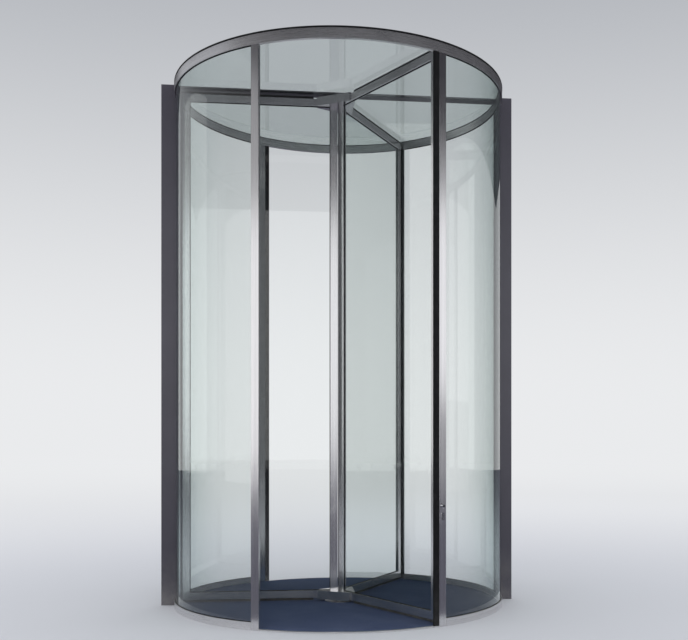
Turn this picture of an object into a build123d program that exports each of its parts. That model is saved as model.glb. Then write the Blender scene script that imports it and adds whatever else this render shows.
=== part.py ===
from build123d import *
from math import asin, cos, degrees, radians, sin, sqrt
import os

# Revolving door with three glazed wings in a round drum of curved glass.
# Millimetres. +Z is up and the Z axis is the axis that the wings turn about.
# The drum stands half outside a facade that lies along X. Outside is towards -Y.
# A bearing is an angle about the axis in degrees, from -Y towards +X.

# Drum
drum_radius = 1500
profile_depth = 30
passage_height = 4608
top_ring_height = 80
base_ring_height = 62
opening_bearing = 30
post_width = 70
post_corner_chamfer = 2

# Rubber safety edges on the two posts that the wings close towards
safety_edge_width = 50
safety_edge_chamfer = 6

# Curved wall glass
wall_glass_thickness = 12
wall_glass_inset = 7
wall_glass_joint = 8
glazing_bite = 15
glazing_gap = 3

# Roof
roof_glass_thickness = 12
roof_trim_width = 8
roof_trim_height = 14
roof_trim_overhang = 2

# Frame that joins the drum to the facade
jamb_bearing = 90
jamb_width = 120
jamb_depth = 100
header_depth = 100
header_height = 32
frame_corner_chamfer = 3
frame_joint = 0.3

# Floor
mat_thickness = 10
mat_joint = 0.5

# Wings
wings = {"wing_left": -90, "wing_front": 30, "wing_back": 150}
wing_thickness = 40
rail_height = 68
outer_stile_width = 68
inner_stile_width = 68
inner_stile_start = 20
wing_edge_chamfer = 1.5
wing_glass_thickness = 10
wing_glass_gap = 2
wing_glass_edge_gap = 3

# Brush seals
brush_clearance = 5
brush_thickness = 14
brush_seat = 6
brush_joint = 0.5
bottom_brush_height = 25
top_brush_height = 28
side_brush_width = 28

# Hubs, shaft and bearings
hub_reach = 210
hub_plate = 10
hub_corner_width = 64
hub_fit = 0.3
shaft_radius = 15
shaft_fit = 0.05
shaft_end_gap = 1
bearing_radius = 46
bearing_gap = 0.3
floor_plate_radius = 135
floor_plate_thickness = 5

# Key switch and lock plate on the front right post
switch_height = 970
switch_radius = 21
switch_thickness = 10
switch_chamfer = 3
switch_barrel_radius = 12
switch_barrel_length = 15
key_slot_width = 2.4
key_slot_length = 11
key_slot_depth = 3
lock_plate_gap = 27
lock_plate_width = 34
lock_plate_length = 78
lock_plate_thickness = 4
lock_plate_chamfer = 1
lock_barrel_radius = 8
lock_barrel_spacing = 30
lock_barrel_length = 6

# Levels and radii that follow from the sizes above
half_turn = 180
inner_radius = drum_radius - profile_depth
post_face = sqrt(drum_radius**2 - (post_width / 2) ** 2)
glass_inner = inner_radius + wall_glass_inset
glass_outer = glass_inner + wall_glass_thickness
glass_middle = (glass_inner + glass_outer) / 2
groove_radii = (glass_inner - glazing_gap, glass_outer + glazing_gap)
roof_level = passage_height + top_ring_height
header_top = roof_level + header_height
roof_glass_radius = drum_radius + roof_trim_overhang - roof_trim_width - mat_joint
post_half_angle = degrees(asin(post_width / 2 / inner_radius))
pane_end_angle = degrees((post_width / 2 - glazing_bite) / glass_middle)
groove_end_angle = degrees((post_width / 2 - glazing_bite - glazing_gap) / glass_middle)
groove_overrun = degrees(glazing_gap / glass_middle)
pane_joint_angle = degrees(wall_glass_joint / 2 / glass_middle)
pane_foot = base_ring_height - glazing_bite
pane_head = passage_height + glazing_bite
wing_bottom = mat_thickness + brush_clearance + bottom_brush_height
wing_top = roof_level - brush_clearance - top_brush_height
bottom_rail_top = wing_bottom + rail_height
top_rail_bottom = wing_top - rail_height
brush_tip = sqrt((inner_radius - brush_clearance) ** 2 - (brush_thickness / 2) ** 2)
outer_stile_end = brush_tip - side_brush_width
outer_stile_start = outer_stile_end - outer_stile_width
inner_stile_end = inner_stile_start + inner_stile_width
hub_bottom = wing_bottom - hub_plate
hub_top = wing_top + hub_plate
brush_start = hub_reach + hub_corner_width / 2
lock_height = switch_height - switch_radius - lock_plate_gap - lock_plate_length / 2


def radial(bearing):
    """Direction from the axis along a bearing."""
    return (sin(radians(bearing)), -cos(radians(bearing)), 0)


def upright_plane(bearing):
    """Plane through the axis: X runs outwards along the bearing, Y runs up."""
    return Plane(origin=(0, 0, 0), x_dir=radial(bearing), z_dir=radial(bearing - 90))


def plan_plane(bearing, level):
    """Level plane centred on the axis, with X along the bearing."""
    return Plane(origin=(0, 0, level), x_dir=radial(bearing), z_dir=(0, 0, 1))


def arc_bar(radii, levels, bearings, mode=Mode.ADD):
    """Rectangular section swept round the axis, in the part being built."""
    with BuildSketch(upright_plane(bearings[0])) as section:
        with Locations((sum(radii) / 2, sum(levels) / 2)):
            Rectangle(radii[1] - radii[0], levels[1] - levels[0])
    revolve(section.sketch, axis=Axis.Z, revolution_arc=bearings[1] - bearings[0], mode=mode)


def wing_bar(bearing, radii, levels, thickness, mode=Mode.ADD):
    """Straight bar in the plane of a wing, in the part being built."""
    with BuildSketch(upright_plane(bearing)) as face:
        with Locations((sum(radii) / 2, sum(levels) / 2)):
            Rectangle(radii[1] - radii[0], levels[1] - levels[0])
    extrude(face.sketch, amount=thickness / 2, both=True, mode=mode)


def plan_block(bearing, radii, width, levels, mode=Mode.ADD):
    """Block that stands on a plan rectangle along a bearing, in the part being built."""
    with BuildSketch(plan_plane(bearing, levels[0])) as base:
        with Locations((sum(radii) / 2, 0)):
            Rectangle(radii[1] - radii[0], width)
    extrude(base.sketch, amount=levels[1] - levels[0], mode=mode)


def round_block(radius, levels, mode=Mode.ADD):
    """Upright cylinder on the axis, in the part being built."""
    with BuildSketch(Plane.XY.offset(levels[0])) as base:
        Circle(radius)
    extrude(base.sketch, amount=levels[1] - levels[0], mode=mode)


def header_block(mode=Mode.ADD):
    """The header's outline, from jamb to jamb."""
    with BuildSketch(Plane.XY.offset(roof_level)) as base:
        Rectangle(2 * drum_radius, header_depth)
    extrude(base.sketch, amount=header_height, mode=mode)


def post_block(bearing):
    """A post's outline, with its outer corners on the drum's radius."""
    plan_block(bearing, (inner_radius, post_face), post_width, (0, passage_height))


def cut_post_space(bearing):
    """Cut away all of an arc that lies between the side faces of a post."""
    beyond = 2 * post_width
    plan_block(
        bearing,
        (inner_radius - beyond, drum_radius + beyond),
        post_width,
        (0, passage_height),
        Mode.SUBTRACT,
    )


def save(part, name):
    """Label a finished piece and write it."""
    part.label = name
    export_step(part, f"parts/{name}.step")


os.makedirs("parts", exist_ok=True)

# Jambs: box profiles with a nose that covers the joint of the curved panes
for side, bearing in (("left", -jamb_bearing), ("right", jamb_bearing)):
    with BuildPart() as jamb:
        plan_block(bearing, (glass_inner, drum_radius + jamb_width), jamb_depth, (0, header_top))
        round_block(glass_outer + frame_joint, (0, header_top), Mode.SUBTRACT)
        round_block(drum_radius + frame_joint, (0, base_ring_height + frame_joint), Mode.SUBTRACT)
        round_block(drum_radius + frame_joint, (passage_height - frame_joint, header_top), Mode.SUBTRACT)
        header_block(Mode.SUBTRACT)
        outer_corners = jamb.edges().filter_by(Axis.Z).group_by(Axis.X)
        chamfer(outer_corners[0] if bearing < 0 else outer_corners[-1], frame_corner_chamfer)
    save(jamb.part, f"jamb_{side}")

with BuildPart() as header:
    header_block()
    chamfer(header.edges().filter_by(Axis.X).group_by(Axis.Z)[-1], frame_corner_chamfer)
save(header.part, "header")

# Posts at the ends of the curved walls, each with a groove for the pane's edge
posts = {
    "post_front_left": (-opening_bearing, -1),
    "post_front_right": (opening_bearing, 1),
    "post_back_right": (half_turn - opening_bearing, -1),
    "post_back_left": (half_turn + opening_bearing, 1),
}
for name, (bearing, towards_wall) in posts.items():
    groove = sorted((bearing + towards_wall * groove_end_angle, bearing + towards_wall * 2 * post_half_angle))
    with BuildPart() as post:
        post_block(bearing)
        chamfer(post.edges().filter_by(Axis.Z), post_corner_chamfer)
        arc_bar(groove_radii, (pane_foot - glazing_gap, passage_height), groove, Mode.SUBTRACT)
    save(post.part, name)

# Safety edges: upright rubber strips on the posts' opening sides, from the threshold to the ring
with BuildPart() as safety_edges:
    edge_radii = (inner_radius + post_corner_chamfer, post_face - post_corner_chamfer)
    edge_offset = (post_width + safety_edge_width) / 2
    for bearing in (opening_bearing, half_turn + opening_bearing):
        with BuildSketch(plan_plane(bearing, mat_thickness)) as edge_section:
            with Locations((sum(edge_radii) / 2, -edge_offset)):
                Rectangle(edge_radii[1] - edge_radii[0], safety_edge_width)
            chamfer(edge_section.vertices().group_by(Axis.Y)[0], safety_edge_chamfer)
        extrude(edge_section.sketch, amount=passage_height - mat_thickness)
save(safety_edges.part, "safety_edges")

# Curved walls: two panes a side, which meet behind the jamb
pane_span = (opening_bearing + pane_end_angle, jamb_bearing - pane_joint_angle)
panes = {
    "wall_glass_front_left": (-pane_span[1], -pane_span[0]),
    "wall_glass_back_left": (-half_turn + pane_span[0], -half_turn + pane_span[1]),
    "wall_glass_front_right": pane_span,
    "wall_glass_back_right": (half_turn - pane_span[1], half_turn - pane_span[0]),
}
for name, bearings in panes.items():
    with BuildPart() as pane:
        arc_bar((glass_inner, glass_outer), (pane_foot, pane_head), bearings)
    save(pane.part, name)

# Base rings: channels under the curved walls, from post to post
for side, middle in (("left", -jamb_bearing), ("right", jamb_bearing)):
    span = (middle - jamb_bearing + opening_bearing, middle + jamb_bearing - opening_bearing)
    with BuildPart() as base:
        arc_bar((inner_radius, drum_radius), (0, base_ring_height), span)
        arc_bar(groove_radii, (pane_foot, base_ring_height), span, Mode.SUBTRACT)
        cut_post_space(span[0])
        cut_post_space(span[1])
    save(base.part, f"base_ring_{side}")

# Top ring: two half rings, grooved over the walls and plain over the openings
for side, middle in (("front", 0), ("back", half_turn)):
    with BuildPart() as ring:
        half_span = (middle - jamb_bearing, middle + jamb_bearing)
        arc_bar((inner_radius, drum_radius), (passage_height, roof_level), half_span)
        for towards in (-1, 1):
            over_post = middle + towards * (opening_bearing - post_half_angle)
            past_end = middle + towards * (jamb_bearing + groove_overrun)
            over_wall = sorted((over_post, past_end))
            arc_bar(groove_radii, (passage_height, pane_head + glazing_gap), over_wall, Mode.SUBTRACT)
    save(ring.part, f"top_ring_{side}")

# Roof: a half disc of glass on each side of the header, and a trim round its edge
for side, direction in (("front", -1), ("back", 1)):
    with BuildPart() as roof:
        with BuildSketch(Plane.XY.offset(roof_level)) as half_disc:
            Circle(roof_glass_radius)
            with Locations((0, direction * (header_depth / 2 + drum_radius))):
                Rectangle(2 * drum_radius, 2 * drum_radius, mode=Mode.INTERSECT)
        extrude(amount=roof_glass_thickness)
    save(roof.part, f"roof_glass_{side}")

with BuildPart() as trim:
    trim_outer = drum_radius + roof_trim_overhang
    round_block(trim_outer, (roof_level, roof_level + roof_trim_height))
    round_block(trim_outer - roof_trim_width, (roof_level, roof_level + roof_trim_height), Mode.SUBTRACT)
    with BuildSketch(Plane.XY.offset(roof_level)) as header_gap:
        Rectangle(2 * (trim_outer + roof_trim_width), header_depth)
    extrude(amount=roof_trim_height, mode=Mode.SUBTRACT)
save(trim.part, "roof_trim")

# Floor: a mat inside the drum and a threshold across each opening
with BuildPart() as mat:
    round_block(inner_radius - mat_joint, (0, mat_thickness))
save(mat.part, "floor_mat")

with BuildPart() as thresholds:
    for middle in (0, half_turn):
        span = (middle - opening_bearing, middle + opening_bearing)
        arc_bar((inner_radius, drum_radius), (0, mat_thickness), span)
        cut_post_space(span[0])
        cut_post_space(span[1])
save(thresholds.part, "thresholds")

# Bearings that the rotor turns in, on the mat and under the header
with BuildPart() as floor_bearing:
    plate_top = mat_thickness + floor_plate_thickness
    round_block(floor_plate_radius, (mat_thickness, plate_top))
    round_block(bearing_radius, (plate_top, hub_bottom - bearing_gap))
    round_block(shaft_radius + shaft_fit, (plate_top, hub_bottom), Mode.SUBTRACT)
save(floor_bearing.part, "floor_bearing")

with BuildPart() as top_bearing:
    round_block(bearing_radius, (hub_top + bearing_gap, roof_level))
    round_block(shaft_radius + shaft_fit, (hub_top, roof_level), Mode.SUBTRACT)
save(top_bearing.part, "top_bearing")

# Key switch and lock plate on the outer face of the front right post
outwards = Axis((0, 0, 0), radial(opening_bearing))


def post_plane(height):
    """Plane on the post's outer face: X runs along the wall, Y runs up."""
    centre = outwards.direction * post_face + Vector(0, 0, height)
    return Plane(origin=centre, x_dir=radial(opening_bearing + 90), z_dir=outwards.direction)


def outer_edges(piece):
    """Edges of the face that looks straight out from the post."""
    return piece.faces().sort_by(outwards)[-1].edges()


with BuildPart() as key_switch:
    with BuildSketch(post_plane(switch_height)) as rosette:
        Circle(switch_radius)
    extrude(amount=switch_thickness)
    chamfer(outer_edges(key_switch), switch_chamfer)
    with BuildSketch(post_plane(switch_height)) as barrel:
        Circle(switch_barrel_radius)
    extrude(amount=switch_barrel_length)
    with BuildSketch(post_plane(switch_height).offset(switch_barrel_length)) as key_slot:
        Rectangle(key_slot_width, key_slot_length)
    extrude(amount=-key_slot_depth, mode=Mode.SUBTRACT)
save(key_switch.part, "key_switch")

with BuildPart() as lock_plate:
    with BuildSketch(post_plane(lock_height)) as plate:
        SlotOverall(lock_plate_length, lock_plate_width, rotation=90)
    extrude(amount=lock_plate_thickness)
    chamfer(outer_edges(lock_plate), lock_plate_chamfer)
    with BuildSketch(post_plane(lock_height)) as barrels:
        with GridLocations(lock_barrel_spacing, lock_barrel_spacing, 1, 2):
            Circle(lock_barrel_radius)
    extrude(amount=lock_barrel_length)
    with BuildSketch(post_plane(lock_height).offset(lock_barrel_length)) as key_slots:
        with GridLocations(lock_barrel_spacing, lock_barrel_spacing, 1, 2):
            Rectangle(key_slot_width, key_slot_length)
    extrude(amount=-key_slot_depth, mode=Mode.SUBTRACT)
save(lock_plate.part, "lock_plate")


def brush_strips(bearing, play, mode=Mode.ADD):
    """The three brush strips of a wing, or with play the slots that hold them."""
    thickness = brush_thickness + 2 * play
    lower = (mat_thickness + brush_clearance - play, wing_bottom + brush_seat + play)
    upper = (wing_top - brush_seat - play, roof_level - brush_clearance + play)
    side_start = outer_stile_end - brush_seat
    wing_bar(bearing, (brush_start - play, side_start - brush_joint + play), lower, thickness, mode)
    wing_bar(bearing, (brush_start - play, side_start - brush_joint + play), upper, thickness, mode)
    wing_bar(bearing, (side_start - play, brush_tip + play), (lower[0], upper[1]), thickness, mode)


# Wings: two rails and two stiles round a pane, with brush seals on three edges
glass_slot = wing_glass_thickness + 2 * wing_glass_gap
pane_radii = (
    inner_stile_end - glazing_bite + wing_glass_edge_gap,
    outer_stile_start + glazing_bite - wing_glass_edge_gap,
)
pane_levels = (bottom_rail_top - glazing_bite, top_rail_bottom + glazing_bite - wing_glass_edge_gap)
slot_radii = (inner_stile_end - glazing_bite, outer_stile_start + glazing_bite)
slot_levels = (bottom_rail_top - glazing_bite, top_rail_bottom + glazing_bite)
members = {
    "bottom_rail": ((inner_stile_end, outer_stile_start), (wing_bottom, bottom_rail_top)),
    "top_rail": ((inner_stile_end, outer_stile_start), (top_rail_bottom, wing_top)),
    "inner_stile": ((inner_stile_start, inner_stile_end), (wing_bottom, wing_top)),
    "outer_stile": ((outer_stile_start, outer_stile_end), (wing_bottom, wing_top)),
}
for wing, bearing in wings.items():
    for member, (radii, levels) in members.items():
        along = Axis((0, 0, 0), radial(bearing)) if member.endswith("rail") else Axis.Z
        with BuildPart() as frame_bar:
            wing_bar(bearing, radii, levels, wing_thickness)
            chamfer(frame_bar.edges().filter_by(along), wing_edge_chamfer)
            wing_bar(bearing, slot_radii, slot_levels, glass_slot, Mode.SUBTRACT)
            if member != "inner_stile":
                brush_strips(bearing, frame_joint, Mode.SUBTRACT)
        save(frame_bar.part, f"{wing}_{member}")

    with BuildPart() as wing_glass:
        wing_bar(bearing, pane_radii, pane_levels, wing_glass_thickness)
    save(wing_glass.part, f"{wing}_glass")

    with BuildPart() as brushes:
        brush_strips(bearing, 0)
    save(brushes.part, f"{wing}_brushes")

# Hubs: a three-cornered plate with gussets that clamp the wings at their angles
for name, plate_levels, gusset_levels in (
    ("bottom_hub", (hub_bottom, wing_bottom), (wing_bottom, bottom_rail_top)),
    ("top_hub", (wing_top, hub_top), (top_rail_bottom, wing_top)),
):
    with BuildPart() as hub:
        low = min(plate_levels[0], gusset_levels[0])
        high = max(plate_levels[1], gusset_levels[1])
        corners = []
        for bearing in sorted(wings.values()):
            tip = Vector(*radial(bearing)) * hub_reach
            sideways = Vector(*radial(bearing + 90)) * (hub_corner_width / 2)
            corners.append(tip - sideways)
            corners.append(tip + sideways)
        with BuildSketch(Plane.XY.offset(low)) as outline:
            with BuildLine():
                Polyline(*[(corner.X, corner.Y) for corner in corners], close=True)
            make_face()
        extrude(amount=high - low)
        for bearing in wings.values():
            plan_block(
                bearing,
                (inner_stile_start - hub_fit, hub_reach + hub_corner_width),
                wing_thickness + 2 * hub_fit,
                gusset_levels,
                Mode.SUBTRACT,
            )
        round_block(shaft_radius + hub_fit, (low, high), Mode.SUBTRACT)
    save(hub.part, name)

# Shaft from the floor bearing to the top bearing
with BuildPart() as shaft:
    shaft_bottom = mat_thickness + floor_plate_thickness + shaft_end_gap
    round_block(shaft_radius, (shaft_bottom, roof_level - shaft_end_gap))
save(shaft.part, "shaft")
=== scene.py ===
import math
import random

import bmesh
import bpy
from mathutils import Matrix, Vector


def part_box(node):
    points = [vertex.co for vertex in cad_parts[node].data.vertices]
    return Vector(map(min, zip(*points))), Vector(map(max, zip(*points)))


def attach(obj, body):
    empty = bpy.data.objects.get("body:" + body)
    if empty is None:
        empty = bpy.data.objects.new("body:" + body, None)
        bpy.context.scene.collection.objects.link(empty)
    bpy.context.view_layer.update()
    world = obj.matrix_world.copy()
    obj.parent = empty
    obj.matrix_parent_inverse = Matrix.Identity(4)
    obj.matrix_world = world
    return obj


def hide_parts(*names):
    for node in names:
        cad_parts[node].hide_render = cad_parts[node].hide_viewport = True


# Revolving door: the finish of every surface, the rubber, bristles, ribs, screws and lock trim,
# and the studio round it.
# Metres. +Z is up, the wings turn about the Z axis, and outside is towards -Y.
# A bearing is an angle about the axis in degrees, from -Y towards +X.

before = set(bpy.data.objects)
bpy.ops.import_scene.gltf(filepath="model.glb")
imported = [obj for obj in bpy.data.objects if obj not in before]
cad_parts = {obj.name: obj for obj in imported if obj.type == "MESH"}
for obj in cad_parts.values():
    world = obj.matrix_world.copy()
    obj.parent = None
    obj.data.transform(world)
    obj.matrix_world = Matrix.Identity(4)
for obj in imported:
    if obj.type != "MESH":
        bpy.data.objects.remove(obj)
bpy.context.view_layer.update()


# Sizes read from the frame

def corners(node):
    """Every corner of a node's mesh."""
    return [v.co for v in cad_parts[node].data.vertices]


def radii(node):
    """Least and greatest distance of a node's corners from the axis."""
    lengths = [math.hypot(corner.x, corner.y) for corner in corners(node)]
    return min(lengths), max(lengths)


def radial(bearing):
    """Direction from the axis along a bearing."""
    return Vector((math.sin(math.radians(bearing)), -math.cos(math.radians(bearing)), 0))


def half_width(node, bearing):
    """Half the width of a node that stands square across a bearing."""
    across = radial(bearing + 90)
    return max(abs(corner.dot(across)) for corner in corners(node))


def outer_face(node, bearing):
    """Distance from the axis to a node's face that looks out along a bearing."""
    return max(corner.dot(radial(bearing)) for corner in corners(node))


def top_beyond(node, distance):
    """Height of a node's highest corner that is further than a distance from the axis."""
    return max(corner.z for corner in corners(node) if math.hypot(corner.x, corner.y) > distance)


def middle_height(node):
    """Height of a node's middle."""
    low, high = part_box(node)
    return (low.z + high.z) / 2


def bearing_of(node):
    """Bearing of a node's middle, to a hundredth of a degree."""
    low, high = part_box(node)
    middle = (low + high) / 2
    return round(math.degrees(math.atan2(middle.x, -middle.y)), 2)


UP = Vector((0, 0, 1))
WINGS = {wing: bearing_of(f"{wing}_outer_stile") for wing in ("wing_left", "wing_front", "wing_back")}
OPENING_BEARING = bearing_of("post_front_right")
JAMB_BEARING = bearing_of("jamb_right")
HALF_TURN = 180

ring_inner, drum_radius = radii("top_ring_front")
passage_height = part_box("top_ring_front")[0].z
roof_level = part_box("top_ring_front")[1].z
base_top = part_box("base_ring_left")[1].z
glass_inner, glass_outer = radii("wall_glass_front_left")
pane_foot, pane_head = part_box("wall_glass_front_left")[0].z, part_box("wall_glass_front_left")[1].z
post_half_width = half_width("post_front_left", -OPENING_BEARING)
jamb_half_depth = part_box("jamb_left")[1].y
roof_glass_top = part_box("roof_glass_front")[1].z
header_half_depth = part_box("header")[1].y
mat_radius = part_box("floor_mat")[1].x
mat_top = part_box("floor_mat")[1].z
plate_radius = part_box("floor_bearing")[1].x
bearing_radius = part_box("top_bearing")[1].x
plate_screw_radius = (bearing_radius + plate_radius) / 2
floor_plate_top = top_beyond("floor_bearing", plate_screw_radius)

inner_stile_end = -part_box("wing_left_inner_stile")[0].x
outer_stile_start = -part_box("wing_left_outer_stile")[1].x
outer_stile_end = -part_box("wing_left_outer_stile")[0].x
wing_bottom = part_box("wing_left_outer_stile")[0].z
wing_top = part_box("wing_left_outer_stile")[1].z
bottom_rail_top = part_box("wing_left_bottom_rail")[1].z
top_rail_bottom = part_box("wing_left_top_rail")[0].z
wing_pane_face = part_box("wing_left_glass")[1].y
brush_low, brush_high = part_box("wing_left_brushes")
brush_tip = -brush_low.x
brush_start = -brush_high.x


# Node helpers

def set_inputs(tree, inputs, values):
    """Set a node's inputs to values, or join them to sockets."""
    for key, value in values.items():
        if isinstance(value, bpy.types.NodeSocket):
            tree.links.new(value, inputs[key])
        else:
            inputs[key].default_value = value


def spaced(values):
    """The same values, with spaces for the underscores in their names."""
    return {key.replace("_", " "): value for key, value in values.items()}


def add(tree, kind, values=None, **settings):
    """A node with its settings, and its inputs set to values or joined to sockets."""
    made = tree.nodes.new(kind)
    for name, value in settings.items():
        setattr(made, name, value)
    set_inputs(tree, made.inputs, values or {})
    return made


def calc(tree, operation, *values, clamp=False):
    """The result of a Math node."""
    made = add(tree, "ShaderNodeMath", dict(enumerate(values)), operation=operation)
    made.use_clamp = clamp
    return made.outputs[0]


def remap(tree, value, low, high, to_low=0.0, to_high=1.0):
    """A value moved smoothly from one range to another, held at its ends."""
    ends = {"Value": value, "From Min": low, "From Max": high, "To Min": to_low, "To Max": to_high}
    made = add(tree, "ShaderNodeMapRange", ends, interpolation_type="SMOOTHSTEP")
    return made.outputs["Result"]


def mix_colours(tree, share, first, second):
    """First colour where share is 0, second where it is 1."""
    made = add(tree, "ShaderNodeMix", {0: share, 6: first, 7: second}, data_type="RGBA")
    return made.outputs[2]


def noise(tree, vector, scale, detail=2.0, roughness=0.5):
    """A noise texture's value."""
    values = {"Vector": vector, "Scale": scale, "Detail": detail, "Roughness": roughness}
    return add(tree, "ShaderNodeTexNoise", values).outputs["Fac"]


def surface_point(tree):
    """Place on the surface, in the piece's own frame."""
    return add(tree, "ShaderNodeTexCoord").outputs["Object"]


def show(tree, share, first, second, output="Material Output"):
    """Send out the first shader where share is 0, the second where it is 1."""
    both = add(tree, "ShaderNodeMixShader", {0: share, 1: first.outputs[0], 2: second.outputs[0]})
    tree.links.new(both.outputs[0], tree.nodes[output].inputs["Surface"])


def effect(name, inputs, outputs):
    """An empty node group with its sockets, and the nodes that carry them."""
    tree = bpy.data.node_groups.new(name, "ShaderNodeTree")
    for label, kind, value in inputs:
        socket = tree.interface.new_socket(label, in_out="INPUT", socket_type=kind)
        socket.default_value = value
    for label, kind in outputs:
        tree.interface.new_socket(label, in_out="OUTPUT", socket_type=kind)
    return tree, tree.nodes.new("NodeGroupInput").outputs, tree.nodes.new("NodeGroupOutput").inputs


def place(tree, group, **values):
    """A node group in a material, with its own values. Underscores stand for spaces."""
    made = tree.nodes.new("ShaderNodeGroup")
    made.node_tree = group
    set_inputs(tree, made.inputs, spaced(values))
    return made.outputs


NUMBER, VECTOR = "NodeSocketFloat", "NodeSocketVector"


# Shared effects

def make_round_position():
    """Place on a turned piece: distance from the axis, length round the drum, height."""
    tree, _, out = effect("round_position", [], [("Position", VECTOR)])
    point = surface_point(tree)
    axes = add(tree, "ShaderNodeSeparateXYZ", {0: point}).outputs
    flat = add(tree, "ShaderNodeCombineXYZ", {0: axes[0], 1: axes[1]}).outputs[0]
    distance = add(tree, "ShaderNodeVectorMath", {0: flat}, operation="LENGTH").outputs["Value"]
    turn = calc(tree, "ARCTAN2", axes[1], axes[0])
    length = calc(tree, "MULTIPLY", turn, drum_radius)
    place_round = add(tree, "ShaderNodeCombineXYZ", {0: distance, 1: length, 2: axes[2]})
    tree.links.new(place_round.outputs[0], out["Position"])
    return tree


def make_brushed_grain():
    """Fine scratches of a brushed finish, long where Stretch is small."""
    inputs = [("Position", VECTOR, (0, 0, 0)), ("Stretch", VECTOR, (1, 1, 1)), ("Depth", NUMBER, 0.1)]
    tree, given, out = effect(
        "brushed_grain", inputs, [("Streaks", NUMBER), ("Bands", NUMBER), ("Normal", VECTOR)]
    )
    factors = {0: given["Position"], 1: given["Stretch"]}
    stretched = add(tree, "ShaderNodeVectorMath", factors, operation="MULTIPLY").outputs[0]
    streaks = noise(tree, stretched, 1.0, 4.0, 0.65)
    bands = noise(tree, stretched, 0.06, 3.0, 0.6)
    bump = add(tree, "ShaderNodeBump", {"Strength": given["Depth"], "Distance": 0.0004, "Height": streaks})
    tree.links.new(streaks, out["Streaks"])
    tree.links.new(bands, out["Bands"])
    tree.links.new(bump.outputs[0], out["Normal"])
    return tree


def make_edge_wear():
    """Where a corner has been rubbed, broken up so that it isn't an even line."""
    inputs = [("Reach", NUMBER, 0.002), ("Amount", NUMBER, 0.5)]
    tree, given, out = effect("edge_wear", inputs, [("Mask", NUMBER)])
    rounded = add(tree, "ShaderNodeBevel", {"Radius": given["Reach"]}, samples=4).outputs[0]
    flat = add(tree, "ShaderNodeNewGeometry").outputs["Normal"]
    agree = add(tree, "ShaderNodeVectorMath", {0: rounded, 1: flat}, operation="DOT_PRODUCT")
    corner = remap(tree, agree.outputs["Value"], 0.99, 0.85)
    point = surface_point(tree)
    broken = remap(tree, noise(tree, point, 38.0, 5.0, 0.7), 0.42, 0.62)
    rubbed = calc(tree, "MULTIPLY", corner, broken)
    tree.links.new(calc(tree, "MULTIPLY", rubbed, given["Amount"]), out["Mask"])
    return tree


def make_dust_film():
    """Dust that settles on level faces, and the splashed band above the floor."""
    inputs = [("Settled", NUMBER, 0.4), ("Splashed", NUMBER, 0.3), ("Band", NUMBER, 0.35)]
    tree, given, out = effect("dust_film", inputs, [("Mask", NUMBER)])
    point = surface_point(tree)
    facing = add(tree, "ShaderNodeSeparateXYZ", {0: add(tree, "ShaderNodeNewGeometry").outputs["Normal"]})
    level = remap(tree, facing.outputs[2], 0.6, 1.0)
    height = add(tree, "ShaderNodeSeparateXYZ", {0: point}).outputs[2]
    low = calc(tree, "SUBTRACT", 1.0, calc(tree, "DIVIDE", height, given["Band"]), clamp=True)
    patches = remap(tree, noise(tree, point, 6.0, 6.0, 0.62), 0.3, 0.75)
    specks = remap(tree, noise(tree, point, 160.0, 2.0), 0.48, 0.7)
    settled = calc(tree, "MULTIPLY", calc(tree, "MULTIPLY", level, patches), given["Settled"])
    spots = calc(tree, "ADD", calc(tree, "MULTIPLY", specks, 0.6), calc(tree, "MULTIPLY", patches, 0.4))
    splash = calc(tree, "MULTIPLY", calc(tree, "MULTIPLY", low, spots), given["Splashed"])
    tree.links.new(calc(tree, "MAXIMUM", settled, splash, clamp=True), out["Mask"])
    return tree


def make_hand_marks():
    """Soft smears where hands push and touch, in a band at hand height."""
    inputs = [("Height", NUMBER, 1.15), ("Spread", NUMBER, 0.5)]
    tree, given, out = effect("hand_marks", inputs, [("Mask", NUMBER)])
    point = surface_point(tree)
    height = add(tree, "ShaderNodeSeparateXYZ", {0: point}).outputs[2]
    away = calc(tree, "ABSOLUTE", calc(tree, "SUBTRACT", height, given["Height"]))
    near = calc(tree, "SUBTRACT", 1.0, calc(tree, "DIVIDE", away, given["Spread"]), clamp=True)
    smears = remap(tree, noise(tree, point, 9.0, 4.0, 0.6), 0.5, 0.72)
    tree.links.new(calc(tree, "MULTIPLY", near, smears), out["Mask"])
    return tree


round_position = make_round_position()
brushed_grain = make_brushed_grain()
edge_wear = make_edge_wear()
dust_film = make_dust_film()
hand_marks = make_hand_marks()

DUST = (0.42, 0.40, 0.36, 1)


# Materials

def material(name):
    """An empty material with a Principled shader."""
    made = bpy.data.materials.new(name)
    made.use_nodes = True
    tree = made.node_tree
    return made, tree, tree.nodes["Principled BSDF"]


def feed(tree, shader, **values):
    """Set or join a Principled shader's inputs. Underscores stand for spaces."""
    set_inputs(tree, shader.inputs, spaced(values))


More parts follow.
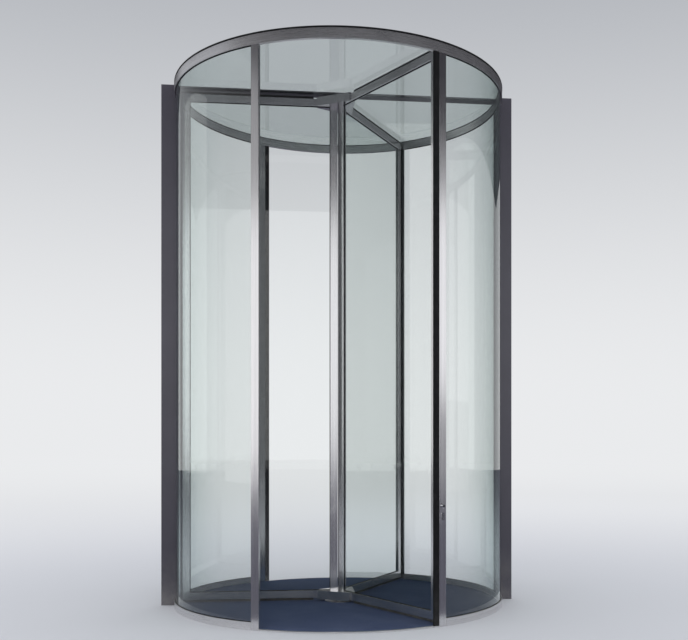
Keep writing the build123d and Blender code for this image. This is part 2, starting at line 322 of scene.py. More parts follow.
def stainless(name, stretch, blur_least, blur_spread, turned=False):
    """Brushed stainless steel. Stretch is small along the brushing, and blur is how satin it is."""
    made, tree, shader = material(name)
    if turned:
        point = place(tree, round_position)["Position"]
    else:
        point = surface_point(tree)
    grain = place(tree, brushed_grain, Position=point, Stretch=stretch, Depth=0.12)
    worn = place(tree, edge_wear, Reach=0.0015, Amount=0.7)["Mask"]
    dust = place(tree, dust_film, Settled=0.22, Splashed=0.14, Band=0.22)["Mask"]
    marks = place(tree, hand_marks, Height=1.1, Spread=0.45)["Mask"]
    half_streaks = calc(tree, "MULTIPLY", grain["Streaks"], 0.5)
    half_bands = calc(tree, "MULTIPLY", grain["Bands"], 0.5)
    shade = calc(tree, "ADD", half_streaks, half_bands)
    metal = mix_colours(tree, remap(tree, shade, 0.3, 0.7), (0.62, 0.61, 0.625, 1), (0.78, 0.775, 0.785, 1))
    rubbed = mix_colours(tree, worn, metal, (0.86, 0.86, 0.87, 1))
    colour = mix_colours(tree, dust, rubbed, DUST)
    blur = calc(tree, "MULTIPLY_ADD", grain["Streaks"], blur_spread, blur_least)
    blur = calc(tree, "MULTIPLY_ADD", marks, 0.08, blur)
    blur = calc(tree, "MULTIPLY_ADD", dust, 0.4, blur, clamp=True)
    feed(
        tree,
        shader,
        Base_Color=colour,
        Metallic=calc(tree, "MULTIPLY_ADD", dust, -0.8, 1.0, clamp=True),
        Roughness=blur,
        Normal=grain["Normal"],
    )
    return made


def painted_aluminium():
    """Satin powder coat, dark purple-grey, with a fine orange peel."""
    made, tree, shader = material("painted_aluminium")
    point = surface_point(tree)
    peel = noise(tree, point, 900.0, 2.0)
    clouds = noise(tree, point, 3.0, 4.0)
    worn = place(tree, edge_wear, Reach=0.002, Amount=0.5)["Mask"]
    dust = place(tree, dust_film, Settled=0.6, Splashed=0.5, Band=0.5)["Mask"]
    paint = mix_colours(tree, clouds, (0.050, 0.045, 0.062, 1), (0.072, 0.066, 0.086, 1))
    chipped = mix_colours(tree, worn, paint, (0.42, 0.41, 0.43, 1))
    bump = add(tree, "ShaderNodeBump", {"Strength": 0.12, "Distance": 0.0003, "Height": peel})
    feed(
        tree,
        shader,
        Base_Color=mix_colours(tree, dust, chipped, DUST),
        Roughness=calc(tree, "MULTIPLY_ADD", dust, 0.3, 0.36),
        Normal=bump.outputs[0],
        Coat_Weight=0.25,
        Coat_Roughness=0.25,
    )
    return made


def clear_glass(name, face_on, grazing):
    """Clear glass, greener where it is looked through aslant, with a faint film of dust."""
    made, tree, shader = material(name)
    slant = add(tree, "ShaderNodeLayerWeight", {"Blend": 0.35}).outputs["Facing"]
    tint = mix_colours(tree, remap(tree, slant, 0.1, 0.95), face_on, grazing)
    point = surface_point(tree)
    dust = place(tree, dust_film, Settled=0.25, Splashed=0.3, Band=0.35)["Mask"]
    marks = place(tree, hand_marks, Height=1.25, Spread=0.4)["Mask"]
    roller = noise(tree, point, 2.2, 1.0)
    bump = add(tree, "ShaderNodeBump", {"Strength": 0.05, "Distance": 0.002, "Height": roller})
    film = calc(tree, "MULTIPLY", calc(tree, "ADD", marks, dust), 0.12)
    feed(
        tree,
        shader,
        Base_Color=mix_colours(tree, calc(tree, "MULTIPLY", dust, 0.5), tint, DUST),
        Roughness=film,
        Normal=bump.outputs[0],
        Transmission_Weight=1.0,
        IOR=1.5,
    )
    shadow = add(tree, "ShaderNodeLightPath").outputs["Is Shadow Ray"]
    open_way = add(tree, "ShaderNodeBsdfTransparent", {"Color": (0.86, 0.93, 0.90, 1)})
    show(tree, shadow, shader, open_way)
    return made


def rubber(name="rubber", colour=(0.006, 0.006, 0.007, 1), blur=0.6):
    """Black rubber or silicone, a little greyed by dust."""
    made, tree, shader = material(name)
    point = surface_point(tree)
    dust = place(tree, dust_film, Settled=0.4, Splashed=0.12, Band=0.3)["Mask"]
    bloom = remap(tree, noise(tree, point, 24.0, 4.0), 0.4, 0.8)
    grey = mix_colours(tree, bloom, colour, (0.013, 0.013, 0.014, 1))
    skin = noise(tree, point, 700.0)
    bump = add(tree, "ShaderNodeBump", {"Strength": 0.15, "Distance": 0.0004, "Height": skin})
    feed(
        tree,
        shader,
        Base_Color=mix_colours(tree, dust, grey, DUST),
        Roughness=calc(tree, "MULTIPLY_ADD", dust, 0.3, blur),
        Normal=bump.outputs[0],
        Specular_IOR_Level=0.18,
    )
    return made


def bristles():
    """Black nylon bristles, dusty towards the floor."""
    made, tree, shader = material("bristles")
    point = surface_point(tree)
    dust = place(tree, dust_film, Settled=0.2, Splashed=0.5, Band=0.2)["Mask"]
    mottled = noise(tree, point, 350.0, 2.0)
    fibre = mix_colours(tree, mottled, (0.006, 0.006, 0.007, 1), (0.030, 0.029, 0.031, 1))
    feed(
        tree,
        shader,
        Base_Color=mix_colours(tree, dust, fibre, DUST),
        Roughness=calc(tree, "MULTIPLY_ADD", noise(tree, point, 90.0), 0.2, 0.5),
        Sheen_Weight=0.25,
        Sheen_Roughness=0.4,
    )
    return made


def mat_textile():
    """Dark slate entrance matting: looped fibre, trodden paler in patches."""
    made, tree, shader = material("mat_textile")
    point = surface_point(tree)
    fibre = noise(tree, point, 1400.0, 3.0, 0.7)
    clumps = noise(tree, point, 180.0, 4.0, 0.6)
    trodden = remap(tree, noise(tree, point, 2.4, 5.0, 0.6), 0.35, 0.75)
    slate = mix_colours(tree, clumps, (0.017, 0.027, 0.062, 1), (0.060, 0.088, 0.186, 1))
    slate = mix_colours(tree, calc(tree, "MULTIPLY", trodden, 0.35), slate, (0.088, 0.114, 0.190, 1))
    height = calc(tree, "MULTIPLY_ADD", fibre, 0.5, clumps)
    bump = add(tree, "ShaderNodeBump", {"Strength": 0.7, "Distance": 0.0012, "Height": height})
    feed(
        tree,
        shader,
        Base_Color=slate,
        Roughness=0.95,
        Normal=bump.outputs[0],
        Specular_IOR_Level=0.2,
        Sheen_Weight=0.06,
        Sheen_Roughness=0.6,
    )
    return made


def lock_metal(name, metal, rubbed, blur):
    """Polished metal with finger marks, fine scratches and rubbed edges."""
    made, tree, shader = material(name)
    point = surface_point(tree)
    worn = place(tree, edge_wear, Reach=0.0008, Amount=0.6)["Mask"]
    scratches = noise(tree, point, 1100.0, 4.0, 0.7)
    smears = remap(tree, noise(tree, point, 90.0, 3.0), 0.4, 0.7)
    bump = add(tree, "ShaderNodeBump", {"Strength": 0.05, "Distance": 0.0002, "Height": scratches})
    feed(
        tree,
        shader,
        Base_Color=mix_colours(tree, worn, metal, rubbed),
        Metallic=1.0,
        Roughness=calc(tree, "MULTIPLY_ADD", smears, 0.16, blur),
        Normal=bump.outputs[0],
    )
    return made


FINE, LONG = 700, 5
UPRIGHT, ROUND, OUTWARDS = (FINE, FINE, LONG), (FINE, LONG, FINE), (LONG, FINE, FINE)
post_steel = stainless("post_steel", UPRIGHT, 0.12, 0.12)
ring_steel = stainless("ring_steel", ROUND, 0.2, 0.16, turned=True)
rail_steel = stainless("rail_steel", OUTWARDS, 0.12, 0.12, turned=True)
paint = painted_aluminium()
curved_glass = clear_glass("curved_glass", (0.962, 0.978, 0.972, 1), (0.50, 0.67, 0.63, 1))
wing_glass = clear_glass("wing_glass", (0.960, 0.976, 0.970, 1), (0.60, 0.74, 0.70, 1))
roof_glass = clear_glass("roof_glass", (0.945, 0.965, 0.955, 1), (0.55, 0.70, 0.66, 1))
black_rubber = rubber()
silicone = rubber("silicone", (0.035, 0.036, 0.038, 1), 0.4)
bristle_fibre = bristles()
textile = mat_textile()
chrome = lock_metal("lock_chrome", (0.75, 0.75, 0.77, 1), (0.60, 0.56, 0.48, 1), 0.09)
# Near-black metal for the key plug and lock collars: a painted dark reflection of the surroundings in
# polished metal, lighter brown where its edges are rubbed.
lock_metal_painted_dark_reflection = lock_metal("lock_metal_painted_dark_reflection", (0.045, 0.045, 0.052, 1), (0.28, 0.25, 0.20, 1), 0.25)


def dress(node):
    """The material of a node that keeps the frame's shape."""
    if node.startswith("wall_glass"):
        return curved_glass
    if node.startswith("roof_glass"):
        return roof_glass
    if node.startswith("wing_") and node.endswith("_glass"):
        return wing_glass
    if node.startswith("jamb") or node == "header":
        return paint
    if node.startswith("post") or node.endswith("_stile") or node == "shaft":
        return post_steel
    if node.endswith("_rail") or node.endswith("_hub"):
        return rail_steel
    if node.endswith("_brushes"):
        return bristle_fibre
    named = {
        "roof_trim": black_rubber,
        "safety_edges": black_rubber,
        "floor_mat": textile,
        "key_switch": chrome,
        "lock_plate": chrome,
    }
    return named.get(node, ring_steel)


for name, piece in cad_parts.items():
    piece.data.materials.clear()
    piece.data.materials.append(dress(name))


# Mesh helpers

def sweep(mesh, outline, stations, closed=False):
    """Carry an outline along stations, each a place with the outline's two directions."""
    rings = []
    for origin, across, outwards in stations:
        rings.append([mesh.verts.new(origin + across * a + outwards * b) for a, b in outline])
    pairs = list(zip(rings, rings[1:]))
    if closed:
        pairs.append((rings[-1], rings[0]))
    count = len(outline)
    for first, second in pairs:
        for i in range(count):
            j = (i + 1) % count
            mesh.faces.new((first[i], first[j], second[j], second[i]))
    if not closed:
        mesh.faces.new(rings[0][::-1])
        mesh.faces.new(rings[-1])


def mesh_data(mesh, name):
    """A finished mesh as an object's data."""
    data = bpy.data.meshes.new(name)
    mesh.to_mesh(data)
    mesh.free()
    return data


def put_in_scene(name, data):
    """A new object of the scene."""
    made = bpy.data.objects.new(name, data)
    bpy.context.scene.collection.objects.link(made)
    return made


def finish_piece(mesh, name, body, finish):
    """Turn a finished mesh into a piece that rides on a body."""
    sharp_angle = 35
    bmesh.ops.recalc_face_normals(mesh, faces=mesh.faces)
    data = mesh_data(mesh, name)
    data.materials.append(finish)
    data.polygons.foreach_set("use_smooth", [True] * len(data.polygons))
    data.set_sharp_from_angle(angle=math.radians(sharp_angle))
    piece = put_in_scene(name, data)
    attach(piece, body)
    return piece


def on_wing(bearing, distance, side, height):
    """A point of a wing: out from the axis, to one side of its middle, and up."""
    return radial(bearing) * distance + radial(bearing + 90) * side + UP * height


def on_drum(bearing, distance, height):
    """A point of the drum."""
    return radial(bearing) * distance + UP * height


def lip(gap):
    """Section of a glazing rubber: across the glass from the metal's edge, and out from the glass."""
    film = 0.0001
    seat = -0.008
    fill = gap - film
    return [
        (seat, film),
        (0.0050, film),
        (0.0050, 0.0008),
        (0.0040, 0.0022),
        (0.0022, 0.0031),
        (0.0004, 0.0033),
        (0.0002, fill),
        (seat, fill),
    ]


# Rubber and silicone

def wing_rubbers(wing, bearing):
    """Glazing rubber round both faces of a wing's pane, mitred at the corners."""
    mesh = bmesh.new()
    gap = 0.002
    pane_corners = [
        (inner_stile_end, bottom_rail_top, 1, 1),
        (outer_stile_start, bottom_rail_top, -1, 1),
        (outer_stile_start, top_rail_bottom, -1, -1),
        (inner_stile_end, top_rail_bottom, 1, -1),
    ]
    for side in (-1, 1):
        stations = []
        for distance, height, inwards, upwards in pane_corners:
            origin = on_wing(bearing, distance, side * wing_pane_face, height)
            across = radial(bearing) * inwards + UP * upwards
            stations.append((origin, across, radial(bearing + 90) * side))
        sweep(mesh, lip(gap), stations, closed=True)
    finish_piece(mesh, f"{wing}_glazing_rubber", "rotor", black_rubber)


def bearing_steps(start, end, count):
    """Evenly spaced bearings from start to end."""
    return [start + (end - start) * i / count for i in range(count + 1)]


def wall_rubbers(name, post_bearing, jamb_bearing):
    """Glazing rubber on both faces of a curved pane, at its ring, post and jamb edges."""
    mesh = bmesh.new()
    gap = 0.003
    steps = 40
    jamb_bead = [(0, 0.0001), (0.0045, 0.0001), (0.0040, 0.0015), (0.0020, 0.0030), (0, 0.0035)]
    towards = 1 if jamb_bearing > post_bearing else -1
    post_edge = post_bearing + towards * math.degrees(math.asin(post_half_width / glass_outer))
    jamb_edge = jamb_bearing - towards * math.degrees(math.asin(jamb_half_depth / glass_outer))
    for distance, outwards in ((glass_outer, 1), (glass_inner, -1)):
        pane_end = jamb_edge if outwards > 0 else jamb_bearing
        for height, upwards in ((base_top, 1), (passage_height, -1)):
            stations = [
                (on_drum(b, distance, height), UP * upwards, radial(b) * outwards)
                for b in bearing_steps(post_edge, pane_end, steps)
            ]
            sweep(mesh, lip(gap), stations)
        along = radial(post_edge + 90) * towards
        stations = [
            (on_drum(post_edge, distance, height), along, radial(post_edge) * outwards)
            for height in (base_top, passage_height)
        ]
        sweep(mesh, lip(gap), stations)
    stations = [
        (on_drum(jamb_edge, glass_outer, height), radial(jamb_edge - 90) * towards, radial(jamb_edge))
        for height in (base_top, passage_height)
    ]
    sweep(mesh, jamb_bead, stations)
    finish_piece(mesh, name, "drum", black_rubber)


def pane_joint(side, bearing):
    """Silicone between the two curved panes of a side, hollowed a little by the tool."""
    mesh = bmesh.new()
    half = 0.0038
    hollow = 0.0012
    inner_set, outer_set = 0.0004, 0.0002
    depth = glass_outer - glass_inner
    outline = [
        (-half, inner_set),
        (-half / 2, hollow),
        (half / 2, hollow),
        (half, inner_set),
        (half, depth - outer_set),
        (-half, depth - outer_set),
    ]
    stations = [
        (on_drum(bearing, glass_inner, height), radial(bearing + 90), radial(bearing))
        for height in (pane_foot, pane_head)
    ]
    sweep(mesh, outline, stations)
    finish_piece(mesh, f"pane_joint_{side}", "drum", silicone)


def roof_seals():
    """Silicone beads where the roof glass meets the header and the inside of the top ring."""
    mesh = bmesh.new()
    header_bead = [(0, 0), (0.009, 0), (0.0075, 0.0025), (0.0045, 0.0055), (0.0020, 0.0080), (0, 0.0090)]
    ring_scale = 0.6
    ring_bead = [(a * ring_scale, b * ring_scale) for a, b in header_bead]
    clear_of_header = 2
    steps = 96
    reach = math.sqrt(ring_inner**2 - header_half_depth**2)
    for side in (-1, 1):
        across = Vector((0, side, 0))
        y = side * header_half_depth
        stations = [(Vector((x, y, roof_glass_top)), across, UP) for x in (-reach, reach)]
        sweep(mesh, header_bead, stations)
    for start in (-JAMB_BEARING, JAMB_BEARING):
        bearings = bearing_steps(start + clear_of_header, start + HALF_TURN - clear_of_header, steps)
        stations = [(on_drum(b, ring_inner, roof_level), -radial(b), -UP) for b in bearings]
        sweep(mesh, ring_bead, stations)
    finish_piece(mesh, "roof_seals", "drum", silicone)


# Brush seals

def strand(points, faces, root, tip, wide, thick):
    """A tapered tuft of bristle with three sides, closed at both ends."""
    taper = 0.45
    first = len(points)
    along = (tip - root).normalized()
    across = wide.cross(along).normalized()
    for end, size in ((root, thick), (tip, thick * taper)):
        for step in range(3):
            angle = math.tau * step / 3
            points.append(end + (wide * math.cos(angle) + across * math.sin(angle)) * size)
    a, b, c, d, e, f = range(first, first + 6)
    faces += [(a, b, e, d), (b, c, f, e), (c, a, d, f), (c, b, a), (d, e, f)]


def brush_row(points, faces, bearing, start, end, root_line, tip_line, draw):
    """Tufts between two ends, from the line where they are held to the line of their tips."""
    pitch = 0.0034
    rows = (-0.0046, 0.0, 0.0046)
    row_shift = 0.165
    thick = 0.0019
    most_lean, most_short = 0.0012, 0.0018
    splay = 1.05
    wide = radial(bearing + 90)
    count = int((end - start) / pitch)
    for row_number, side in enumerate(rows):
        for i in range(count):
            place_along = start + pitch * (i + 0.5 + row_shift * (row_number - 1))
            lean = draw.uniform(-most_lean, most_lean)
            short = draw.uniform(0.0, most_short)
            root = root_line(place_along, side)
            tip = tip_line(place_along + lean, side * splay, short)
            strand(points, faces, root, tip, wide, thick)


def brush_core(points, faces, bearing, radii_pair, levels):
    """The close-packed middle of a brush, which no light passes."""
    half = 0.0052
    first = len(points)
    for height in levels:
        for distance in radii_pair:
            for side in (-half, half):
                points.append(on_wing(bearing, distance, side, height))
    a, b, c, d, e, f, g, h = range(first, first + 8)
    faces += [(a, b, d, c), (e, g, h, f), (a, e, f, b), (c, d, h, g), (a, c, g, e), (b, f, h, d)]


def wing_bristles(wing, bearing):
    """Bristle seals of a wing: down to the mat, up to the roof and out to the drum."""
    draw = random.Random(f"{wing} bristles")
    points, faces = [], []
    inset = 0.0005
    held, end_gap = 0.004, 0.002
    lower, upper = brush_low.z + inset, brush_high.z - inset
    outer = brush_tip - inset

    def bottom_root(along, side):
        return on_wing(bearing, along, side, wing_bottom + held)

    def bottom_tip(along, side, short):
        return on_wing(bearing, along, side, lower + short)

    def top_root(along, side):
        return on_wing(bearing, along, side, wing_top - held)

    def top_tip(along, side, short):
        return on_wing(bearing, along, side, upper - short)

    def side_root(along, side):
        return on_wing(bearing, outer_stile_end - held, side, along)

    def side_tip(along, side, short):
        return on_wing(bearing, outer - short, side, along)

    for root_line, tip_line in ((bottom_root, bottom_tip), (top_root, top_tip)):
        brush_row(points, faces, bearing, brush_start, outer_stile_end, root_line, tip_line, draw)
    brush_row(points, faces, bearing, lower + end_gap, upper - end_gap, side_root, side_tip, draw)
    core = 0.72
    bottom_core = wing_bottom - (wing_bottom - lower) * core
    top_core = wing_top + (upper - wing_top) * core
    side_core = outer_stile_end + (outer - outer_stile_end) * core
    brush_core(points, faces, bearing, (brush_start, outer_stile_end), (bottom_core, wing_bottom + held))
    brush_core(points, faces, bearing, (brush_start, outer_stile_end), (wing_top - held, top_core))
    brush_core(points, faces, bearing, (outer_stile_end - held, side_core), (bottom_core, top_core))

    data = bpy.data.meshes.new(f"{wing}_bristles")
    data.from_pydata([tuple(p) for p in points], [], faces)
    mesh = bmesh.new()
    mesh.from_mesh(data)
    bpy.data.meshes.remove(data)
    piece = finish_piece(mesh, f"{wing}_bristles", "rotor", bristle_fibre)
    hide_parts(f"{wing}_brushes")


# Mat ribs

def mat_ribs():
    """Raised ribs of the matting, cut to the drum's circle and round the floor plate."""
    mesh = bmesh.new()
    pitch = 0.014
    proud = 0.0012
    outline = [
        (-0.0046, -0.0004),
        (0.0046, -0.0004),
        (0.0041, 0.0008),
        (0.0028, proud),
        (-0.0028, proud),
        (-0.0041, 0.0008),
    ]
    shortest = 0.02
    edge = mat_radius - 0.004
    hole = plate_radius + 0.002
    rows = int(edge / pitch)
    for row in range(-rows, rows + 1):
        y = row * pitch
        reach = math.sqrt(max(edge**2 - y**2, 0))
        if reach < shortest:
            continue
        spans = [(-reach, reach)]
        if abs(y) < hole:
            gap = math.sqrt(hole**2 - y**2)
            spans = [(-reach, -gap), (gap, reach)]
        for start, end in spans:
            stations = [(Vector((x, y, mat_top)), Vector((0, 1, 0)), UP) for x in (start, end)]
            sweep(mesh, outline, stations)
    finish_piece(mesh, "mat_ribs", "drum", textile)


# Screws and lock trim

def screw_head(mesh, centre, outwards, size):
    """A low screw head with a hexagon socket. Size is its radius."""
    spin = outwards.orthogonal().normalized()
    other = outwards.cross(spin)
    sides = 12
    rim, top = size * 0.10, size * 0.24
    foot, socket_floor = -0.0005, -0.0003

    def ring(distance, lift, hexagon=False):
        made = []
        for i in range(sides):
            angle = math.tau * i / sides
            reach = distance
            if hexagon and i % 2:
                reach = distance * math.cos(math.pi / 6)
            direction = spin * math.cos(angle) + other * math.sin(angle)
            made.append(mesh.verts.new(centre + direction * reach + outwards * lift))
        return made

    rings = [
        ring(size, foot),
        ring(size, rim),
        ring(size * 0.86, top),
        ring(size * 0.52, top, hexagon=True),
        ring(size * 0.50, socket_floor, hexagon=True),
    ]
    for first, second in zip(rings, rings[1:]):
        for i in range(sides):
            j = (i + 1) % sides
            mesh.faces.new((first[i], first[j], second[j], second[i]))
    mesh.faces.new(rings[0][::-1])
    mesh.faces.new(rings[-1])


def hub_screws(hub):
    """Clamping screws on the three long sides of a hub."""
    mesh = bmesh.new()
    low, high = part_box(hub)
    level = (max(low.z, wing_bottom) + min(high.z, wing_top)) / 2
    reach = 0.118
    head_radius = 0.007
    between_wings = 60
    for bearing in WINGS.values():
        facing = bearing + between_wings
        face = outer_face(hub, facing)
        for side in (-reach, reach):
            screw_head(mesh, on_wing(facing, face, side, level), radial(facing), head_radius)
    finish_piece(mesh, f"{hub}_screws", "rotor", chrome)


def plate_screws():
    """Six screws that hold the floor plate down."""
    mesh = bmesh.new()
    count, first_bearing = 6, 15
    head_radius = 0.008
    for i in range(count):
        centre = on_drum(first_bearing + 360 * i / count, plate_screw_radius, floor_plate_top)
        screw_head(mesh, centre, UP, head_radius)
    finish_piece(mesh, "floor_plate_screws", "drum", chrome)


def switch_plug():
    """Plug that the key turns, in two halves beside the key slot, near black with a painted dark
    reflection.
    """
    mesh = bmesh.new()
    reach = 0.0108
    slot_half = 0.0012
    sunk, proud = 0.0002, 0.0004
    steps = 16
    facing = radial(OPENING_BEARING)
    centre = facing * outer_face("key_switch", OPENING_BEARING) + UP * middle_height("key_switch")
    open_angle = math.acos(slot_half / reach)
    angles = [open_angle * (2 * i / steps - 1) for i in range(steps + 1)]
    half_moon = [(reach * math.cos(angle), reach * math.sin(angle)) for angle in angles]
    for side in (-1, 1):
        across = radial(OPENING_BEARING + 90) * side
        stations = [(centre + facing * depth, across, UP) for depth in (-sunk, proud)]
        sweep(mesh, half_moon, stations)
    finish_piece(mesh, "switch_plug", "drum", lock_metal_painted_dark_reflection)


def lock_collars():
    """Collars round the two lock barrels, flat on their plate, near black with a painted dark reflection.
    """
    mesh = bmesh.new()
    barrel_step = 0.015
    barrel_proud = 0.002
    steps = 32
    outline = [(0.0081, -0.0002), (0.0135, -0.0002), (0.0133, 0.0004), (0.0128, 0.0007), (0.0083, 0.0007)]
    facing = radial(OPENING_BEARING)
    plate_face = outer_face("lock_plate", OPENING_BEARING) - barrel_proud
    for step in (-barrel_step, barrel_step):
        centre = facing * plate_face + UP * (middle_height("lock_plate") + step)
        stations = []
        for i in range(steps):
            angle = math.tau * i / steps
            across = radial(OPENING_BEARING + 90) * math.cos(angle) + UP * math.sin(angle)
            stations.append((centre, across, facing))
        sweep(mesh, outline, stations, closed=True)
    finish_piece(mesh, "lock_collars", "drum", lock_metal_painted_dark_reflection)


for wing, bearing in WINGS.items():
    wing_rubbers(wing, bearing)
    wing_bristles(wing, bearing)
wall_rubbers("glazing_rubber_front_left", -OPENING_BEARING, -JAMB_BEARING)
wall_rubbers("glazing_rubber_front_right", OPENING_BEARING, JAMB_BEARING)
wall_rubbers("glazing_rubber_back_right", HALF_TURN - OPENING_BEARING, JAMB_BEARING)
wall_rubbers("glazing_rubber_back_left", OPENING_BEARING - HALF_TURN, -JAMB_BEARING)
pane_joint("left", -JAMB_BEARING)
pane_joint("right", JAMB_BEARING)
roof_seals()
mat_ribs()
hub_screws("bottom_hub")
hub_screws("top_hub")
plate_screws()
switch_plug()
lock_collars()


# Floor, light and camera

HORIZON = (0.82, 0.83, 0.845, 1)
OVERHEAD = (0.34, 0.36, 0.40, 1)
BEHIND_GLASS = (0.11, 0.11, 0.12, 1)
CANOPY = (0.035, 0.034, 0.042, 1)
LAMP_AIM = Vector((0, 0, 2.4))

# Walls of standing cloths: middle on the floor, turn in degrees, width
CLOTH_WALLS = {
    "front": ((0.0, -15.0), 0, 21.0),
    "back_left": ((-12.9, 6.4), -116.7, 8.0),
    "left": ((-13.5, -8.3), -61.4, 14.0),
    "right": ((13.9, -6.2), 69.6, 14.0),
}


def seen_share(tree):
    """1 for what the camera sees, straight, mirrored or through glass."""
    path = add(tree, "ShaderNodeLightPath").outputs
    seen = calc(tree, "MAXIMUM", path["Is Camera Ray"], path["Is Glossy Ray"])
    return calc(tree, "MAXIMUM", seen, path["Is Transmission Ray"])


def mirrored_share(tree):
    """1 for what metal or glass has mirrored on the way."""
    return calc(tree, "MINIMUM", add(tree, "ShaderNodeLightPath").outputs["Glossy Depth"], 1.0)


def shaded(tree, colour):
    """A pale colour, darker where it is mirrored through a pane."""
    through = add(tree, "ShaderNodeLightPath").outputs["Is Transmission Ray"]
    share = calc(tree, "MULTIPLY", mirrored_share(tree), through)
    return mix_colours(tree, share, colour, BEHIND_GLASS)


def make_floor():
    """A pale floor that melts into the backdrop far from the door."""
    near_end, far_end, softness = 3.0, 54.0, 6.0
    drop = 0.0005
    mesh = bmesh.new()
    bmesh.ops.create_circle(mesh, cap_ends=True, segments=128, radius=80)
    data = mesh_data(mesh, "floor")
    floor = put_in_scene("floor", data)
    floor.location.z = -drop
    made, tree, shader = material("floor_paper")
    point = surface_point(tree)
    distance = add(tree, "ShaderNodeVectorMath", {0: point}, operation="LENGTH").outputs["Value"]
    nearness = calc(tree, "DIVIDE", 1.0, calc(tree, "ADD", distance, softness))
    melted = remap(tree, nearness, 1 / (near_end + softness), 1 / (far_end + softness))
    far = calc(tree, "MULTIPLY", melted, seen_share(tree))
    feed(tree, shader, Base_Color=(0.66, 0.66, 0.69, 1), Roughness=0.9, Specular_IOR_Level=0.2)
    glow = add(tree, "ShaderNodeEmission", {"Color": shaded(tree, HORIZON), "Strength": 1.0})
    show(tree, far, shader, glow)
    data.materials.append(made)


def make_world():
    """A pale backdrop to look at, and a soft even light from all round."""
    pale_below, grey_above = 0.03, 0.62
    world = bpy.data.worlds.new("studio")
    bpy.context.scene.world = world
    world.use_nodes = True
    tree = world.node_tree
    lighting = tree.nodes["Background"]
    lighting.inputs["Color"].default_value = (0.93, 0.96, 1.0, 1)
    lighting.inputs["Strength"].default_value = 0.95
    direction = add(tree, "ShaderNodeTexCoord").outputs["Generated"]
    rise = add(tree, "ShaderNodeSeparateXYZ", {0: direction}).outputs[2]
    pale = mix_colours(tree, remap(tree, rise, pale_below, grey_above), HORIZON, OVERHEAD)
    backdrop = add(tree, "ShaderNodeBackground", {"Color": shaded(tree, pale), "Strength": 1.0})
    show(tree, seen_share(tree), lighting, backdrop, "World Output")


def soft_box(name, place_at, width, height, watts, colour):
    """A wide soft lamp aimed at the door. It lights the surfaces and is never seen itself."""
    data = bpy.data.lights.new(name, "AREA")
    data.shape = "RECTANGLE"
    data.size = width
    data.size_y = height
    data.energy = watts
    data.color = colour
    lamp = put_in_scene(name, data)
    lamp.location = place_at
    lamp.rotation_euler = (LAMP_AIM - Vector(place_at)).to_track_quat("-Z", "Y").to_euler()
    lamp.visible_camera = False
    lamp.visible_glossy = False
    lamp.visible_transmission = False


def hang_cloth(mesh, name, grey, straight=True, through_glass=False):
    """A plain cloth of the studio, seen only where metal or glass mirrors it.

    It is mirrored straight, through a pane, or both.
    """
    data = mesh_data(mesh, name)
    made, tree, _ = material(f"{name}_cloth")
    glow = add(tree, "ShaderNodeEmission", {"Color": grey, "Strength": 1.0})
    open_way = add(tree, "ShaderNodeBsdfTransparent")
    show(tree, mirrored_share(tree), open_way, glow)
    data.materials.append(made)
    cloth = put_in_scene(name, data)
    cloth.visible_camera = False
    cloth.visible_shadow = False
    cloth.visible_diffuse = False
    cloth.visible_transmission = through_glass
    cloth.visible_glossy = straight
    return cloth


def screen(name, place_at, tilt, turn, width, depth, grey, **seen):
    """An oblong cloth, tilted up from level and turned to face the door. Seen is how it is mirrored."""
    mesh = bmesh.new()
    bmesh.ops.create_grid(mesh, x_segments=1, y_segments=1, size=0.5)
    cloth = hang_cloth(mesh, name, grey, **seen)
    cloth.location = place_at
    cloth.rotation_euler = (math.radians(tilt), 0, math.radians(turn))
    cloth.scale = (width, depth, 1.0)


def overhead(name, place_at, width, depth, grey, **seen):
    """A level cloth above the door."""
    level, unturned = 0, 0
    screen(name, place_at, level, unturned, width, depth, grey, **seen)


def standing(wall, shade, middle, height, grey, **seen):
    """One strip of a wall of cloths, by the height of its middle and its own height."""
    (x, y), turn, width = CLOTH_WALLS[wall]
    upright = 90
    screen(f"{wall}_{shade}", (x, y, middle), upright, turn, width, height, grey, **seen)


def paving(inner, outer, grey):
    """A dark cloth on the floor all round the door, which stops short of the base ring."""
    mesh = bmesh.new()
    count = 64
    lift = 0.003
    rings = []
    for reach in (inner, outer):
        rings.append([mesh.verts.new(on_drum(360 * i / count, reach, lift)) for i in range(count)])
    for i in range(count):
        j = (i + 1) % count
        mesh.faces.new((rings[0][i], rings[0][j], rings[1][j], rings[1][i]))
    hang_cloth(mesh, "paving", grey)


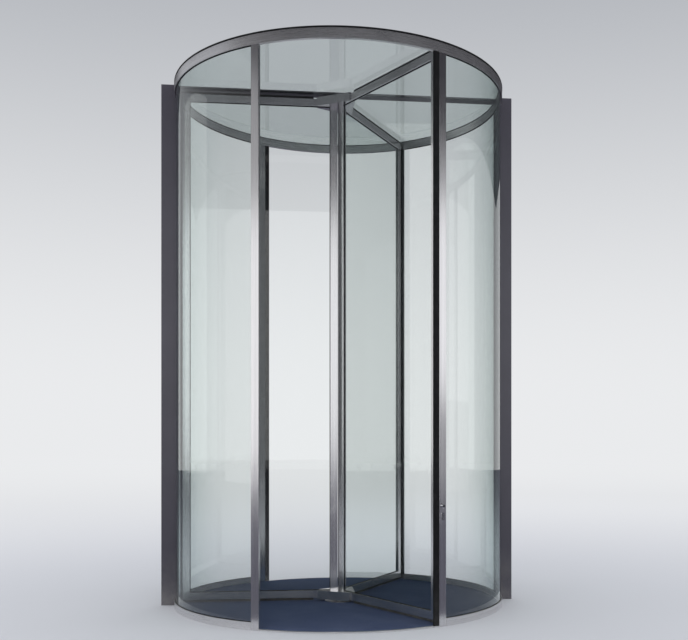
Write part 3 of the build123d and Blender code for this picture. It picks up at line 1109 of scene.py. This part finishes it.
def make_camera():
    """The photograph's viewing place: level, at standing eye height, a little left of the axis."""
    photo_width, photo_height = 688, 640
    focal_pixels = 954
    centre_x, horizon_y = 387, 440
    heading = 6.4
    sensor = 36
    data = bpy.data.cameras.new("camera")
    data.sensor_width = sensor
    data.lens = focal_pixels / photo_width * sensor
    data.shift_x = (photo_width / 2 - centre_x) / photo_width
    data.shift_y = (horizon_y - photo_height / 2) / photo_width
    data.clip_end = 300
    camera = put_in_scene("camera", data)
    camera.location = (-0.551, -8.864, 1.498)
    camera.rotation_euler = (math.radians(90), 0, math.radians(-heading))
    bpy.context.scene.camera = camera


make_floor()
make_world()
overhead("canopy_front", (2.4, -7.0, 8.2), 23.8, 8.0, CANOPY)
overhead("canopy_back", (3.7, 5.5, 8.2), 21.2, 17.0, CANOPY)
overhead("hood", (-0.25, -3.0, 6.5), 9.5, 10.0, (0.05, 0.05, 0.058, 1), through_glass=True)
paving(1.85, 40.0, (0.12, 0.12, 0.152, 1))
standing("front", "white", 4.1, 6.2, (1.12, 1.13, 1.15, 1), through_glass=True)
standing("front", "dark", 7.8, 1.2, (0.06, 0.06, 0.07, 1))
standing("front", "grey", 9.3, 1.8, (0.50, 0.50, 0.51, 1))
standing("back_left", "white", 5.0, 8.5, (1.0, 1.0, 1.0, 1), straight=False, through_glass=True)
standing("left", "white", 3.65, 6.3, (1.19, 1.19, 1.20, 1))
standing("left", "grey", 8.5, 3.4, (0.40, 0.40, 0.41, 1))
standing("right", "white", 4.7, 4.6, (1.13, 1.14, 1.16, 1))
standing("right", "grey", 1.35, 2.1, (0.40, 0.40, 0.42, 1))
standing("right", "high", 7.7, 1.4, (0.35, 0.35, 0.36, 1))
soft_box("key", (-13.0, -8.0, 3.9), 12.0, 7.0, 230, (1.0, 0.98, 0.96))
soft_box("fill", (13.5, -6.5, 3.8), 9.0, 7.0, 160, (0.96, 0.98, 1.0))
soft_box("front", (0.0, -17.0, 4.6), 12.0, 6.0, 190, (1.0, 1.0, 1.0))
soft_box("back_left", (-13.0, 5.5, 3.9), 9.0, 7.0, 190, (1.0, 1.0, 1.0))
soft_box("back_right", (7.0, 14.0, 8.5), 9.0, 6.0, 220, (1.0, 1.0, 1.0))
make_camera()
bpy.context.scene.view_settings.view_transform = "Standard"
